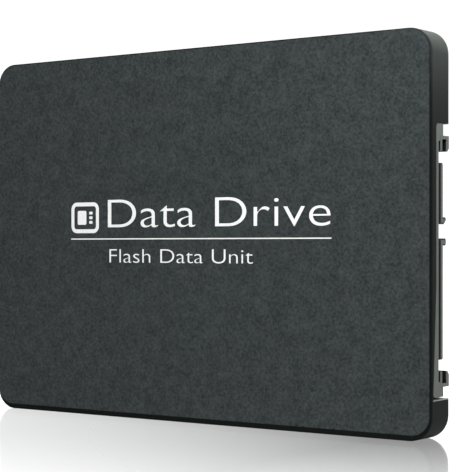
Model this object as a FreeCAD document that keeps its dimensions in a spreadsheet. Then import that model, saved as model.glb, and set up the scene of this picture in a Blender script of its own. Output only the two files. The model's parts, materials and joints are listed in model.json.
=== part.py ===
import FreeCAD, Part
import os
import re
import Sketcher
from FreeCAD import Placement, Rotation, Vector

# A 2.5-inch, 7 mm solid state drive with a SATA plug, in millimetres.
#
# Every body is drawn lying flat: X along the length with the plug at +X, Y across the width,
# Z from the back plane at 0 up to the printed face. The bodies then turn a quarter turn about X
# together, so the drive stands on its long edge: the printed face looks to -Y, the back to +Y,
# and the origin is the middle of the edge that it stands on.

SIZES = {
    # The case
    "case_length": 100.0,
    "case_width": 69.85,
    "case_height": 7.0,
    "corner_radius": 4.2,
    "face_edge": 0.35,
    "back_edge": 0.8,
    "wall_thick": 1.5,
    "face_thick": 0.9,
    "cover_thick": 1.0,
    "cover_gap": 0.1,
    # The M3 threads: four in the back and two in each long side
    "hole_end": 14.0,
    "hole_spacing": 76.6,
    "base_spacing": 61.72,
    "side_height": 3.0,
    "thread_radius": 1.25,
    "thread_deep": 4.6,
    "insert_radius": 1.9,
    "insert_recess": 0.1,
    "insert_waist": 0.25,
    "base_insert": 3.0,
    "side_insert": 1.8,
    "block_half": 4.0,
    "block_inner": 27.9,
    # Screws that hold the rear cover and the board
    "left_screw": 46.0,
    "right_screw": 45.9,
    "left_screw_across": 24.5,
    "upper_screw_across": 27.0,
    "lower_screw_across": 31.2,
    "post_radius": 1.7,
    "screw_radius": 0.75,
    "screw_head": 1.45,
    "screw_length": 4.2,
    "screw_lead": 0.3,
    "screw_fit": 0.02,
    "recess_radius": 0.35,
    "recess_deep": 0.3,
    "board_post": 1.8,
    "board_left": 38.5,
    "board_right": 27.5,
    "board_left_across": 20.0,
    "board_right_across": 28.5,
    "board_screw": 0.6,
    "board_bore": 1.1,
    "pan_radius": 1.3,
    "pan_height": 0.7,
    "pan_bevel": 0.25,
    # Ledges on the long walls that carry the rear cover
    "ledge_along": 18.0,
    "ledge_half": 3.0,
    "ledge_reach": 32.3,
    # The circuit board
    "board_thick": 1.0,
    "board_back": 4.0,
    "board_start": 43.0,
    "board_end": 45.0,
    "board_shoulder": 43.5,
    "board_half": 31.8,
    "board_clear": 0.3,
    # The notch in the end wall and the plug's housing
    "plug_offset": -4.55,
    "notch_half": 23.4,
    "notch_top": 4.95,
    "notch_round": 0.8,
    "notch_deep": 2.1,
    "relief_top": 6.0,
    "relief_long": 19.0,
    "flange_half": 22.95,
    "flange_reach": 23.3,
    "flange_low": 4.05,
    "flange_start": 45.05,
    "flange_end": 49.95,
    "flange_gap": 0.05,
    "ear_low": 2.4,
    "arm_half": 21.3,
    "arm_wide": 2.65,
    "arm_low": 0.45,
    "arm_high": 3.4,
    "slot_low": 1.3,
    "slot_high": 2.85,
    "slot_deep": 2.05,
    "arm_web": 0.9,
    "arm_bevel": 0.6,
    "root_start": 41.5,
    "root_end": 45.0,
    "web_thick": 0.8,
    # The two tongues
    "tongue_half": 16.695,
    "data_wide": 10.41,
    "power_wide": 20.57,
    "tongue_low": 2.17,
    "tongue_high": 3.4,
    "tongue_end": 49.9,
    "tongue_lead": 0.3,
    "key_wide": 1.2,
    "key_low": 1.07,
    # The contacts
    "contact_pitch": 1.27,
    "contact_wide": 0.84,
    "contact_thick": 0.15,
    "contact_proud": 0.03,
    "contact_tip": 49.35,
    "contact_lead": 0.2,
    "contact_drop": 0.08,
    "channel_gap": 0.01,
    "contact_tail": 40.0,
    "contact_bend": 40.9,
    "data_margin": 0.25,
    "power_margin": 0.35,
    # Board locks of the plug
    "lock_along": 43.0,
    "lock_half": 1.0,
    "lock_sheet": 0.25,
    "lock_foot": 1.5,
    "lock_low": 1.6,
    # Flash packages
    "flash_wide": 12.0,
    "flash_long": 18.4,
    "flash_low": 2.95,
    "flash_high": 3.9,
    "lead_pitch": 0.5,
    "lead_wide": 0.2,
    "lead_thick": 0.12,
    "lead_reach": 0.8,
    "lead_level": 3.4,
    "lead_knee": 0.2,
    "package_bevel": 0.2,
    # The label on the back
    "label_start": -33.0,
    "label_end": 29.0,
    "label_half": 24.0,
    "label_deep": 0.2,
    "label_thick": 0.12,
    "label_edge": 0.3,
    "label_corner": 0.6,
}

DATA_CONTACTS = 7
POWER_CONTACTS = 15
LEADS_PER_SIDE = 24

# Places along and across the board, on its back side, with length, width and height
FLASH_PLACES = ((-28.0, 12.5), (-28.0, -12.5), (-11.0, 12.5), (-11.0, -12.5))
PACKAGES = {
    "controller_chip": ((22.0, 0.0, 14.0, 14.0, 0.9),),
    "memory_chip": ((22.0, -16.0, 8.0, 12.0, 0.9),),
    "boot_chip": ((22.0, 13.0, 5.0, 4.0, 0.8),),
    "clock_crystal": ((10.5, 9.5, 3.2, 2.5, 0.7),),
    "power_inductors": tuple((34.5, y, 4.0, 4.0, 1.8) for y in (10.0, 3.0, -4.0)),
    "power_regulators": tuple((34.5, y, 4.0, 4.0, 0.85) for y in (-11.0, -17.5)),
    "tantalum_capacitors": tuple((x, y, 7.3, 4.3, 1.9) for x in (-6.0, 6.0) for y in (-27.5, 27.5)),
    "ceramic_capacitors": tuple((38.6, y * 3.0 - 22.0, 0.8, 1.6, 0.8) for y in range(13))
    + tuple((12.6, y * 2.0 - 6.0, 1.0, 0.5, 0.5) for y in range(7))
    + tuple((x * 2.2 + 18.0, 8.6, 0.5, 1.0, 0.5) for x in range(5)),
    "resistors": tuple((x * 1.8 + 17.0, -8.6, 0.5, 1.0, 0.35) for x in range(6))
    + tuple((31.0, y * 2.0 - 3.0, 1.0, 0.5, 0.35) for y in range(4)),
}

doc = FreeCAD.newDocument("solid_state_drive")
sheet = doc.addObject("Spreadsheet::Sheet", "Sizes")
for line, (alias, size) in enumerate(SIZES.items(), start=1):
    sheet.set("A%d" % line, alias)
    sheet.set("B%d" % line, str(size))
    sheet.setAlias("B%d" % line, alias)
doc.recompute()

parts = []


def cells(words):
    """Point each alias at its cell: a word with an underscore is an alias."""
    return re.sub(r"[a-z]+(?:_[a-z]+)+", lambda alias: "Sizes." + alias.group(), str(words))


def number(words):
    """The present value of an expression."""
    return float(sheet.evalExpression(cells(words)))


def bind(thing, prop, words):
    """Bind a property to an expression on the sheet."""
    thing.setExpression(prop, cells(words))


def stand_up(thing):
    """Turn a flat-drawn piece onto the drive's long edge."""
    thing.Placement = Placement(Vector(0, 0, 0), Rotation(Vector(1, 0, 0), 90))
    bind(thing, "Placement.Base.y", "case_height / 2")
    bind(thing, "Placement.Base.z", "case_width / 2")


def new_body(name):
    body = doc.addObject("PartDesign::Body", name)
    body.Label = name
    stand_up(body)
    parts.append(body)
    return body


def origin_part(body, role):
    return next(part for part in body.Origin.OriginFeatures if part.Role == role)


def new_sketch(body, plane, shift=("0", "0", "0")):
    """A sketch on an origin plane, with its own origin moved by shift in the sketch's axes."""
    sketch = body.newObject("Sketcher::SketchObject", body.Name + "_sketch")
    sketch.AttachmentSupport = [(origin_part(body, plane), "")]
    sketch.MapMode = "FlatFace"
    for axis, words in zip("xyz", shift):
        bind(sketch, "AttachmentOffset.Base." + axis, words)
    return sketch


def hold(sketch, kind, element, point, words):
    """Hold one coordinate of a point at an expression."""
    index = sketch.addConstraint(Sketcher.Constraint(kind, -1, 1, element, point, number(words)))
    bind(sketch, "Constraints[%d]" % index, words)


def outline(sketch, corners):
    """A closed outline of straight lines through corners, each a pair of expressions."""
    first = sketch.GeometryCount
    places = [Vector(number(across), number(up), 0) for across, up in corners]
    for start, end in zip(places, places[1:] + places[:1]):
        sketch.addGeometry(Part.LineSegment(start, end), False)
    for index, (across, up) in enumerate(corners):
        line = first + index
        before = first + (index - 1) % len(corners)
        sketch.addConstraint(Sketcher.Constraint("Coincident", before, 2, line, 1))
        hold(sketch, "DistanceX", line, 1, across)
        hold(sketch, "DistanceY", line, 1, up)


def box(sketch, low_across, high_across, low_up, high_up):
    outline(
        sketch,
        (
            (low_across, low_up),
            (high_across, low_up),
            (high_across, high_up),
            (low_across, high_up),
        ),
    )


def circle(sketch, across, up, radius):
    place = Vector(number(across), number(up), 0)
    element = sketch.addGeometry(Part.Circle(place, Vector(0, 0, 1), number(radius)), False)
    hold(sketch, "DistanceX", element, 3, across)
    hold(sketch, "DistanceY", element, 3, up)
    index = sketch.addConstraint(Sketcher.Constraint("Radius", element, number(radius)))
    bind(sketch, "Constraints[%d]" % index, radius)


def add(body, sketch, length, midplane=False):
    """Pad a sketch along its normal."""
    pad = body.newObject("PartDesign::Pad", body.Name + "_pad")
    pad.Profile = sketch
    bind(pad, "Length", length)
    pad.Midplane = midplane
    return pad


def cut(body, sketch, length, along_normal):
    """Pocket a sketch, along its normal or against it, and make sure that it cuts."""
    doc.recompute()
    before = body.Shape.Volume
    pocket = body.newObject("PartDesign::Pocket", body.Name + "_pocket")
    pocket.Profile = sketch
    bind(pocket, "Length", length)
    pocket.Reversed = along_normal
    doc.recompute()
    if not body.Shape.Volume < before:
        raise RuntimeError(body.Label + ": a pocket cuts nothing")
    return pocket


def edges_where(shape, test):
    """The names of the edges of a shape whose middle and direction pass a test."""
    names = []
    for index, edge in enumerate(shape.Edges, start=1):
        middle = edge.valueAt((edge.FirstParameter + edge.LastParameter) / 2)
        direction = edge.tangentAt((edge.FirstParameter + edge.LastParameter) / 2)
        if test(middle, direction, edge):
            names.append("Edge%d" % index)
    if not names:
        raise RuntimeError("no edge passes the test")
    return names


def dress(body, kind, prop, size, test):
    """Round or bevel the edges of a body that pass a test."""
    doc.recompute()
    base = body.Tip
    feature = body.newObject("PartDesign::" + kind, body.Name + "_" + kind.lower())
    feature.Base = (base, edges_where(base.Shape, test))
    bind(feature, prop, size)
    doc.recompute()
    return feature


def same(first, second):
    return abs(first - second) < 1e-4


def upright(middle, direction, edge):
    return same(abs(direction.z), 1.0)


def row(body, features, role, length, count, backwards=False):
    """Repeat features along an origin axis over a whole length."""
    doc.recompute()
    pattern = body.newObject("PartDesign::LinearPattern", body.Name + "_row")
    pattern.Originals = features
    pattern.Direction = (origin_part(body, role), [""])
    bind(pattern, "Length", length)
    pattern.Occurrences = count
    pattern.Reversed = backwards
    body.Tip = pattern
    doc.recompute()
    return pattern


def grid(body, features, length, width):
    """Repeat features at the four corners of a rectangle that runs to -X and -Y of them."""
    doc.recompute()
    pattern = body.newObject("PartDesign::LinearPattern", body.Name + "_grid")
    pattern.Originals = features
    pattern.Direction = (origin_part(body, "X_Axis"), [""])
    bind(pattern, "Length", length)
    pattern.Occurrences = 2
    pattern.Reversed = True
    pattern.Direction2 = (origin_part(body, "Y_Axis"), [""])
    bind(pattern, "Length2", width)
    pattern.Occurrences2 = 2
    pattern.Reversed2 = True
    body.Tip = pattern
    doc.recompute()
    return pattern


def spin(body, sketch):
    """Turn a sketch about its own upright axis."""
    turned = body.newObject("PartDesign::Revolution", body.Name + "_turned")
    turned.Profile = sketch
    turned.ReferenceAxis = (sketch, ["V_Axis"])
    turned.Angle = 360.0
    return turned


# Places that several pieces share, as expressions
NEAR_HOLE = "(case_length / 2 - hole_end)"
FAR_HOLE = "(case_length / 2 - hole_end - hole_spacing)"
CASE_SCREWS = (
    ("-left_screw", "left_screw_across"),
    ("-left_screw", "-left_screw_across"),
    ("right_screw", "upper_screw_across"),
    ("right_screw", "-lower_screw_across"),
)
BOARD_SCREWS = (
    ("-board_left", "board_left_across"),
    ("-board_left", "-board_left_across"),
    ("board_right", "board_right_across"),
    ("board_right", "-board_right_across"),
)
FACE_INSIDE = "(case_height - face_thick)"
NOTCH_LOW = "plug_offset - notch_half"
NOTCH_HIGH = "plug_offset + notch_half"
FLANGE_LOW = "plug_offset - flange_half"
FLANGE_HIGH = "plug_offset + flange_reach"
DATA_HIGH = "(plug_offset + tongue_half)"
DATA_LOW = "(plug_offset + tongue_half - data_wide)"
POWER_LOW = "(plug_offset - tongue_half)"
POWER_HIGH = "(plug_offset - tongue_half + power_wide)"
DATA_SPAN = "%d * contact_pitch" % (DATA_CONTACTS - 1)
POWER_SPAN = "%d * contact_pitch" % (POWER_CONTACTS - 1)
DATA_FIRST = "(" + DATA_HIGH + " - data_margin - contact_wide / 2 - " + DATA_SPAN + ")"
POWER_FIRST = "(" + POWER_LOW + " + power_margin + contact_wide / 2)"


def block_boxes(sketch, clear, outer):
    """The outlines of the four corner blocks, grown by a clearance."""
    for along in (NEAR_HOLE, FAR_HOLE):
        start = along + " - block_half - " + clear
        end = along + " + block_half + " + clear
        box(sketch, start, end, "block_inner - " + clear, outer)
        box(sketch, start, end, "-" + outer, "-block_inner + " + clear)


def relieved_box(low_end, high_end, bottom, top, relief):
    """Corners of a box along the plug whose top slants up towards its lower end."""
    return (
        (low_end, bottom),
        (high_end, bottom),
        (high_end, top),
        (low_end + " + relief_long", top),
        (low_end, relief),
    )


def front_shell():
    """The printed face and the four side walls in one moulding, with the blocks and posts inside."""
    body = new_body("front_shell")
    slab = new_sketch(body, "XY_Plane")
    box(slab, "-case_length / 2", "case_length / 2", "-case_width / 2", "case_width / 2")
    add(body, slab, "case_height")
    dress(body, "Fillet", "Radius", "corner_radius", upright)
    hollow = new_sketch(body, "XY_Plane")
    reach = "(case_length / 2 - wall_thick)"
    side = "(case_width / 2 - wall_thick)"
    box(hollow, "-" + reach, reach, "-" + side, side)
    cut(body, hollow, FACE_INSIDE, True)
    inner_x = number(reach)
    inner_y = number(side)
    dress(
        body,
        "Fillet",
        "Radius",
        "corner_radius - wall_thick",
        lambda middle, way, edge: upright(middle, way, edge) and same(abs(middle.x), inner_x),
    )
    top = number("case_height")
    dress(body, "Fillet", "Radius", "face_edge", lambda middle, way, edge: same(middle.z, top))
    dress(
        body,
        "Fillet",
        "Radius",
        "back_edge",
        lambda middle, way, edge: same(middle.z, 0)
        and (abs(middle.x) > inner_x + 0.01 or abs(middle.y) > inner_y + 0.01),
    )

    blocks = new_sketch(body, "XY_Plane")
    block_boxes(blocks, "0", "(case_width / 2 - wall_thick / 2)")
    add(body, blocks, FACE_INSIDE)
    ledges = new_sketch(body, "XY_Plane", ("0", "0", "cover_thick"))
    for along in ("-ledge_along", "ledge_along"):
        start = along + " - ledge_half"
        end = along + " + ledge_half"
        outer = "case_width / 2 - wall_thick / 2"
        box(ledges, start, end, "ledge_reach", outer)
        box(ledges, start, end, "-(" + outer + ")", "-ledge_reach")
    add(body, ledges, FACE_INSIDE + " - cover_thick")
    posts = new_sketch(body, "XY_Plane", ("0", "0", "cover_thick"))
    for along, across in CASE_SCREWS:
        circle(posts, along, across, "post_radius")
    add(body, posts, FACE_INSIDE + " - cover_thick")
    board_posts = new_sketch(body, "XY_Plane", ("0", "0", "board_back + board_thick"))
    for along, across in BOARD_SCREWS:
        circle(board_posts, along, across, "board_post")
    add(body, board_posts, FACE_INSIDE + " - board_back - board_thick")

    for radius, depth in (("insert_radius", "base_insert + insert_recess"), ("thread_radius", "thread_deep")):
        bores = new_sketch(body, "XY_Plane")
        for along in (NEAR_HOLE, FAR_HOLE):
            circle(bores, along, "base_spacing / 2", radius)
            circle(bores, along, "-base_spacing / 2", radius)
        cut(body, bores, depth, True)
    for sign, inwards in (("-", False), ("", True)):
        side_bores = new_sketch(body, "XZ_Plane", ("0", "0", sign + "case_width / 2"))
        for along in (NEAR_HOLE, FAR_HOLE):
            circle(side_bores, along, "side_height", "insert_radius")
        cut(body, side_bores, "side_insert + insert_recess", not inwards)
    screw_bores = new_sketch(body, "XY_Plane", ("0", "0", "cover_thick"))
    for along, across in CASE_SCREWS:
        circle(screw_bores, along, across, "screw_radius")
    cut(body, screw_bores, "screw_length - cover_thick + 2 * cover_gap", True)
    board_bores = new_sketch(body, "XY_Plane", ("0", "0", "board_back + board_thick"))
    for along, across in BOARD_SCREWS:
        circle(board_bores, along, across, "board_screw")
    cut(body, board_bores, "board_bore", True)

    notch = new_sketch(body, "YZ_Plane", ("0", "0", "case_length / 2"))
    outline(notch, relieved_box(NOTCH_LOW, NOTCH_HIGH, "-1", "notch_top", "relief_top"))
    cut(body, notch, "notch_deep", False)
    low_end = number(NOTCH_LOW)
    high_end = number(NOTCH_HIGH)
    dress(
        body,
        "Fillet",
        "Radius",
        "notch_round",
        lambda middle, way, edge: same(abs(way.x), 1.0) and middle.z > 1.0
        and same(edge.Length, number("wall_thick")) and (same(middle.y, low_end) or same(middle.y, high_end)),
    )


def rear_cover():
    """The flat plate that closes the back between the walls."""
    body = new_body("rear_cover")
    plate = new_sketch(body, "XY_Plane")
    reach = "(case_length / 2 - wall_thick - cover_gap)"
    side = "(case_width / 2 - wall_thick - cover_gap)"
    box(plate, "-" + reach, reach, "-" + side, side)
    add(body, plate, "cover_thick")
    dress(body, "Fillet", "Radius", "corner_radius - wall_thick - cover_gap", upright)
    openings = new_sketch(body, "XY_Plane")
    block_boxes(openings, "cover_gap", "case_width / 2")
    box(
        openings,
        "root_start - 2 * board_clear",
        "case_length / 2",
        NOTCH_LOW,
        NOTCH_HIGH,
    )
    cut(body, openings, "cover_thick", True)
    recess = new_sketch(body, "XY_Plane")
    box(
        recess,
        "label_start - label_edge",
        "label_end + label_edge",
        "-label_half - label_edge",
        "label_half + label_edge",
    )
    cut(body, recess, "label_deep", True)
    holes = new_sketch(body, "XY_Plane")
    for along, across in CASE_SCREWS:
        circle(holes, along, across, "screw_radius + cover_gap")
    cut(body, holes, "cover_thick", True)
    rim = number("screw_radius + cover_gap")
    dress(
        body,
        "Chamfer",
        "Size",
        "screw_head - screw_radius",
        lambda middle, way, edge: same(middle.z, 0) and edge.Curve.TypeId == "Part::GeomCircle"
        and same(edge.Curve.Radius, rim),
    )


def case_screws():
    """Countersunk screws through the rear cover into the posts."""
    body = new_body("case_screws")
    for along, across in CASE_SCREWS:
        profile = new_sketch(body, "XZ_Plane", (along, "0", "-(" + across + ")"))
        head = "cover_gap / 2"
        neck = head + " + screw_head - screw_radius"
        outline(
            profile,
            (
                ("0", head + " + recess_deep"),
                ("recess_radius", head + " + recess_deep"),
                ("recess_radius", head),
                ("screw_head", head),
                ("screw_radius - screw_fit", neck),
                ("screw_radius - screw_fit", "screw_length - screw_lead"),
                ("screw_radius - screw_lead", "screw_length"),
                ("0", "screw_length"),
            ),
        )
        spin(body, profile)


def board_screws():
    """Pan-head screws through the board into the posts on the face."""
    body = new_body("board_screws")
    for along, across in BOARD_SCREWS:
        profile = new_sketch(body, "XZ_Plane", (along, "0", "-(" + across + ")"))
        crown = "board_back - pan_height"
        tip = "board_back + board_thick + board_bore - cover_gap"
        outline(
            profile,
            (
                ("0", crown + " + recess_deep"),
                ("recess_radius", crown + " + recess_deep"),
                ("recess_radius", crown),
                ("pan_radius - pan_bevel", crown),
                ("pan_radius", crown + " + pan_bevel"),
                ("pan_radius", "board_back"),
                ("board_screw - screw_fit", "board_back"),
                ("board_screw - screw_fit", tip),
                ("0", tip),
            ),
        )
        spin(body, profile)


# Radius of an insert at shares of its length from its mouth: two grip rings with a waist between
INSERT_PROFILE = (
    ("thread_radius", 0),
    ("insert_radius", 0),
    ("insert_radius", 0.35),
    ("insert_radius - insert_waist", 0.4),
    ("insert_radius - insert_waist", 0.6),
    ("insert_radius", 0.65),
    ("insert_radius", 1),
    ("thread_radius", 1),
)


def threaded_insert(body, plane, shift, mouth, inwards, length):
    """One sleeve, open at both ends, that runs inwards from its mouth along the sketch's upright axis."""
    profile = new_sketch(body, plane, shift)
    outline(
        profile,
        [(radius, "%s %s %s * %s" % (mouth, inwards, share, length)) for radius, share in INSERT_PROFILE],
    )
    return spin(body, profile)


def base_inserts():
    """Brass M3 inserts in the back, two by two."""
    body = new_body("base_inserts")
    shift = (NEAR_HOLE, "0", "-base_spacing / 2")
    sleeve = threaded_insert(body, "XZ_Plane", shift, "insert_recess", "+", "base_insert")
    grid(body, [sleeve], "hole_spacing", "base_spacing")


def side_inserts():
    """Brass M3 inserts, two in each long side."""
    body = new_body("side_inserts")
    for mouth, inwards in (("case_width / 2 - insert_recess", "-"), ("insert_recess - case_width / 2", "+")):
        for along in (NEAR_HOLE, FAR_HOLE):
            threaded_insert(body, "XY_Plane", (along, "0", "side_height"), mouth, inwards, "side_insert")


def circuit_board():
    """The board, with shoulders beside the plug and notches round the corner blocks."""
    body = new_body("circuit_board")
    sheet_plan = new_sketch(body, "XY_Plane", ("0", "0", "board_back"))
    outline(
        sheet_plan,
        (
            ("-board_start", "-board_half"),
            ("board_shoulder", "-board_half"),
            ("board_shoulder", "plug_offset - flange_half"),
            ("board_end", "plug_offset - flange_half"),
            ("board_end", "plug_offset + flange_half"),
            ("board_shoulder", "plug_offset + flange_half"),
            ("board_shoulder", "board_half"),
            ("-board_start", "board_half"),
        ),
    )
    add(body, sheet_plan, "board_thick")
    openings = new_sketch(body, "XY_Plane", ("0", "0", "board_back"))
    block_boxes(openings, "board_clear", "case_width / 2")
    cut(body, openings, "board_thick", True)
    holes = new_sketch(body, "XY_Plane", ("0", "0", "board_back"))
    for along, across in BOARD_SCREWS:
        circle(holes, along, across, "board_screw + cover_gap")
    cut(body, holes, "board_thick", True)


def contact_channels(body, first, count):
    """Channels for a row of contacts, through the root and along the back of a tongue."""
    channel = new_sketch(body, "YZ_Plane", ("0", "0", "root_start"))
    half = "(contact_wide / 2 + channel_gap)"
    for index in range(count):
        middle = "(%s + %d * contact_pitch)" % (first, index)
        box(
            channel,
            middle + " - " + half,
            middle + " + " + half,
            "tongue_low - contact_proud - channel_gap",
            "tongue_low - contact_proud + contact_thick",
        )
    cut(body, channel, "contact_tip + channel_gap - root_start", True)


def connector_housing():
    """The plug's moulding: root, two keyed tongues, two guide arms, and the flange with its ears."""
    body = new_body("connector_housing")
    root = new_sketch(body, "YZ_Plane", ("0", "0", "root_start"))
    box(root, "plug_offset - arm_half", "plug_offset + arm_half", "arm_low", "board_back")
    add(body, root, "root_end - root_start")

    flange = new_sketch(body, "YZ_Plane", ("0", "0", "flange_start"))
    top = "notch_top - flange_gap"
    outline(flange, relieved_box(FLANGE_LOW, FLANGE_HIGH, "flange_low", top, "relief_top - flange_gap"))
    add(body, flange, "flange_end - flange_start")
    ears = new_sketch(body, "YZ_Plane", ("0", "0", "flange_start"))
    box(ears, FLANGE_LOW, "plug_offset - arm_half", "ear_low", "flange_low")
    box(ears, "plug_offset + arm_half", FLANGE_HIGH, "ear_low", "flange_low")
    add(body, ears, "flange_end - flange_start")
    flange_ends = (number(FLANGE_LOW), number(FLANGE_HIGH))
    dress(
        body,
        "Fillet",
        "Radius",
        "notch_round",
        lambda middle, way, edge: same(abs(way.x), 1.0) and middle.z > number("flange_low")
        and (same(middle.y, flange_ends[0]) or same(middle.y, flange_ends[1])),
    )
    web = new_sketch(body, "YZ_Plane", ("0", "0", "root_end"))
    box(web, "plug_offset - arm_half", "plug_offset + arm_half", "tongue_high", "flange_low")
    add(body, web, "web_thick")

    arms = new_sketch(body, "YZ_Plane", ("0", "0", "root_end"))
    webs = new_sketch(body, "YZ_Plane", ("0", "0", "root_end"))
    slots = new_sketch(body, "YZ_Plane", ("0", "0", "root_end + web_thick / 2"))
    for sign in "-+":
        outer = "plug_offset %s arm_half" % sign
        inner = "plug_offset %s (arm_half - arm_wide)" % sign
        floor = "plug_offset %s (arm_half - arm_wide + slot_deep)" % sign
        bevel = "plug_offset %s (arm_half - arm_wide + arm_bevel)" % sign
        outline(
            arms,
            (
                (outer, "arm_low"),
                (outer, "arm_high"),
                (inner, "arm_high"),
                (inner, "arm_low + arm_bevel"),
                (bevel, "arm_low"),
            ),
        )
        ends = sorted((floor, inner), key=number)
        box(slots, ends[0], ends[1], "slot_low", "slot_high")
        ends = sorted((outer, outer + (" - " if sign == "+" else " + ") + "arm_web"), key=number)
        box(webs, ends[0], ends[1], "arm_high", "flange_low")
    add(body, arms, "case_length / 2 - root_end")
    add(body, webs, "flange_end - root_end")
    cut(body, slots, "case_length / 2 - root_end", True)

    tongues = new_sketch(body, "YZ_Plane", ("0", "0", "root_end"))
    outline(
        tongues,
        (
            (DATA_LOW, "key_low + arm_bevel"),
            (DATA_LOW + " + arm_bevel", "key_low"),
            (DATA_LOW + " + key_wide", "key_low"),
            (DATA_LOW + " + key_wide", "tongue_low"),
            (DATA_HIGH, "tongue_low"),
            (DATA_HIGH, "tongue_high"),
            (DATA_LOW, "tongue_high"),
        ),
    )
    outline(
        tongues,
        (
            (POWER_LOW, "tongue_low"),
            (POWER_HIGH + " - key_wide", "tongue_low"),
            (POWER_HIGH + " - key_wide", "key_low"),
            (POWER_HIGH, "key_low"),
            (POWER_HIGH, "tongue_high"),
            (POWER_LOW, "tongue_high"),
        ),
    )
    add(body, tongues, "tongue_end - root_end")
    tip = number("tongue_end")
    dress(body, "Chamfer", "Size", "tongue_lead", lambda middle, way, edge: same(middle.x, tip))
    contact_channels(body, DATA_FIRST, DATA_CONTACTS)
    contact_channels(body, POWER_FIRST, POWER_CONTACTS)


def contact_row(name, first, span, count):
    """A row of formed contacts: a blade on the tongue, a riser behind the root, a foot on the board."""
    body = new_body(name)
    profile = new_sketch(body, "XZ_Plane", ("0", "0", "-" + first))
    low = "tongue_low - contact_proud"
    outline(
        profile,
        (
            ("contact_bend", low),
            ("contact_tip - contact_lead", low),
            ("contact_tip", low + " + contact_drop"),
            ("contact_tip", low + " + contact_thick"),
            ("contact_bend + contact_thick", low + " + contact_thick"),
            ("contact_bend + contact_thick", "board_back"),
            ("contact_tail", "board_back"),
            ("contact_tail", "board_back - contact_thick"),
            ("contact_bend", "board_back - contact_thick"),
        ),
    )
    blade = add(body, profile, "contact_wide", midplane=True)
    row(body, [blade], "Y_Axis", span, count)


def connector_board_locks():
    """Sheet-metal holds at both ends of the plug's root, each with a foot on the board."""
    body = new_body("connector_board_locks")
    for sign, edge, away in ((1, "plug_offset + arm_half", "+"), (-1, "plug_offset - arm_half", "-")):
        profile = new_sketch(body, "YZ_Plane", ("0", "0", "lock_along"))
        outline(
            profile,
            (
                (edge, "lock_low"),
                ("%s %s lock_sheet" % (edge, away), "lock_low"),
                ("%s %s lock_sheet" % (edge, away), "board_back - lock_sheet"),
                ("%s %s lock_foot" % (edge, away), "board_back - lock_sheet"),
                ("%s %s lock_foot" % (edge, away), "board_back"),
                (edge, "board_back"),
            ),
        )
        add(body, profile, "2 * lock_half", midplane=True)


def flash_package(index, place):
    """A flash memory package with a row of gull-wing leads at each end."""
    along, across = place
    name = "flash_chip_%d" % index
    body = new_body(name)
    plan = new_sketch(body, "XY_Plane", ("0", "0", "flash_low"))
    box(
        plan,
        "%s - flash_wide / 2" % along,
        "%s + flash_wide / 2" % along,
        "%s - flash_long / 2" % across,
        "%s + flash_long / 2" % across,
    )
    add(body, plan, "flash_high - flash_low")
    low = number("flash_low")
    dress(body, "Chamfer", "Size", "package_bevel", lambda middle, way, edge: same(middle.z, low))

    leads = new_body("flash_leads_%d" % index)
    sides = []
    first = "%s - %d * lead_pitch / 2" % (along, LEADS_PER_SIDE - 1)
    for away in "+-":
        profile = new_sketch(leads, "YZ_Plane", ("0", "0", first))
        edge = "%s %s flash_long / 2" % (across, away)
        inner_knee = "%s %s lead_knee" % (edge, away)
        outer_knee = "%s %s (lead_knee + lead_thick)" % (edge, away)
        toe = "%s %s lead_reach" % (edge, away)
        outline(
            profile,
            (
                (edge, "lead_level"),
                (outer_knee, "lead_level"),
                (outer_knee, "board_back - lead_thick"),
                (toe, "board_back - lead_thick"),
                (toe, "board_back"),
                (inner_knee, "board_back"),
                (inner_knee, "lead_level + lead_thick"),
                (edge, "lead_level + lead_thick"),
            ),
        )
        sides.append(add(leads, profile, "lead_wide", midplane=True))
    row(leads, sides, "X_Axis", "%d * lead_pitch" % (LEADS_PER_SIDE - 1), LEADS_PER_SIDE)


def board_package(name, places):
    """Packages that stand on the back of the board, each a block of its own size."""
    body = new_body(name)
    for along, across, length, width, height in places:
        plan = new_sketch(body, "XY_Plane", ("0", "0", "board_back - %s" % height))
        box(
            plan,
            str(along - length / 2),
            str(along + length / 2),
            str(across - width / 2),
            str(across + width / 2),
        )
        add(body, plan, str(height))


def thermal_pad(name, along, across, length, width, chip_face):
    """A soft pad that fills the gap between packages and the rear cover."""
    body = new_body(name)
    plan = new_sketch(body, "XY_Plane", ("0", "0", "cover_thick"))
    box(
        plan,
        str(along - length / 2),
        str(along + length / 2),
        str(across - width / 2),
        str(across + width / 2),
    )
    add(body, plan, "%s - cover_thick" % chip_face)


def rear_label():
    """The label in the rear cover's recess, just below the back plane."""
    body = new_body("rear_label")
    plan = new_sketch(body, "XY_Plane", ("0", "0", "label_deep - label_thick"))
    box(plan, "label_start", "label_end", "-label_half", "label_half")
    add(body, plan, "label_thick")
    dress(body, "Fillet", "Radius", "label_corner", upright)


def save_parts():
    """Stop at any failed object, then write one file for each piece."""
    doc.recompute()
    for thing in doc.Objects:
        if "Invalid" in thing.State or "Error" in thing.State:
            raise RuntimeError(thing.Name + " failed: " + thing.getStatusString())
    for body in parts:
        if body.Shape.isNull() or not body.Shape.isValid():
            raise RuntimeError(body.Label + " has no valid shape")
    os.makedirs("parts", exist_ok=True)
    for body in parts:
        body.Shape.exportStep("parts/" + body.Label + ".step")
        print("%-24s %3d solids %9.2f mm3" % (body.Label, len(body.Shape.Solids), body.Shape.Volume))


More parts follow.
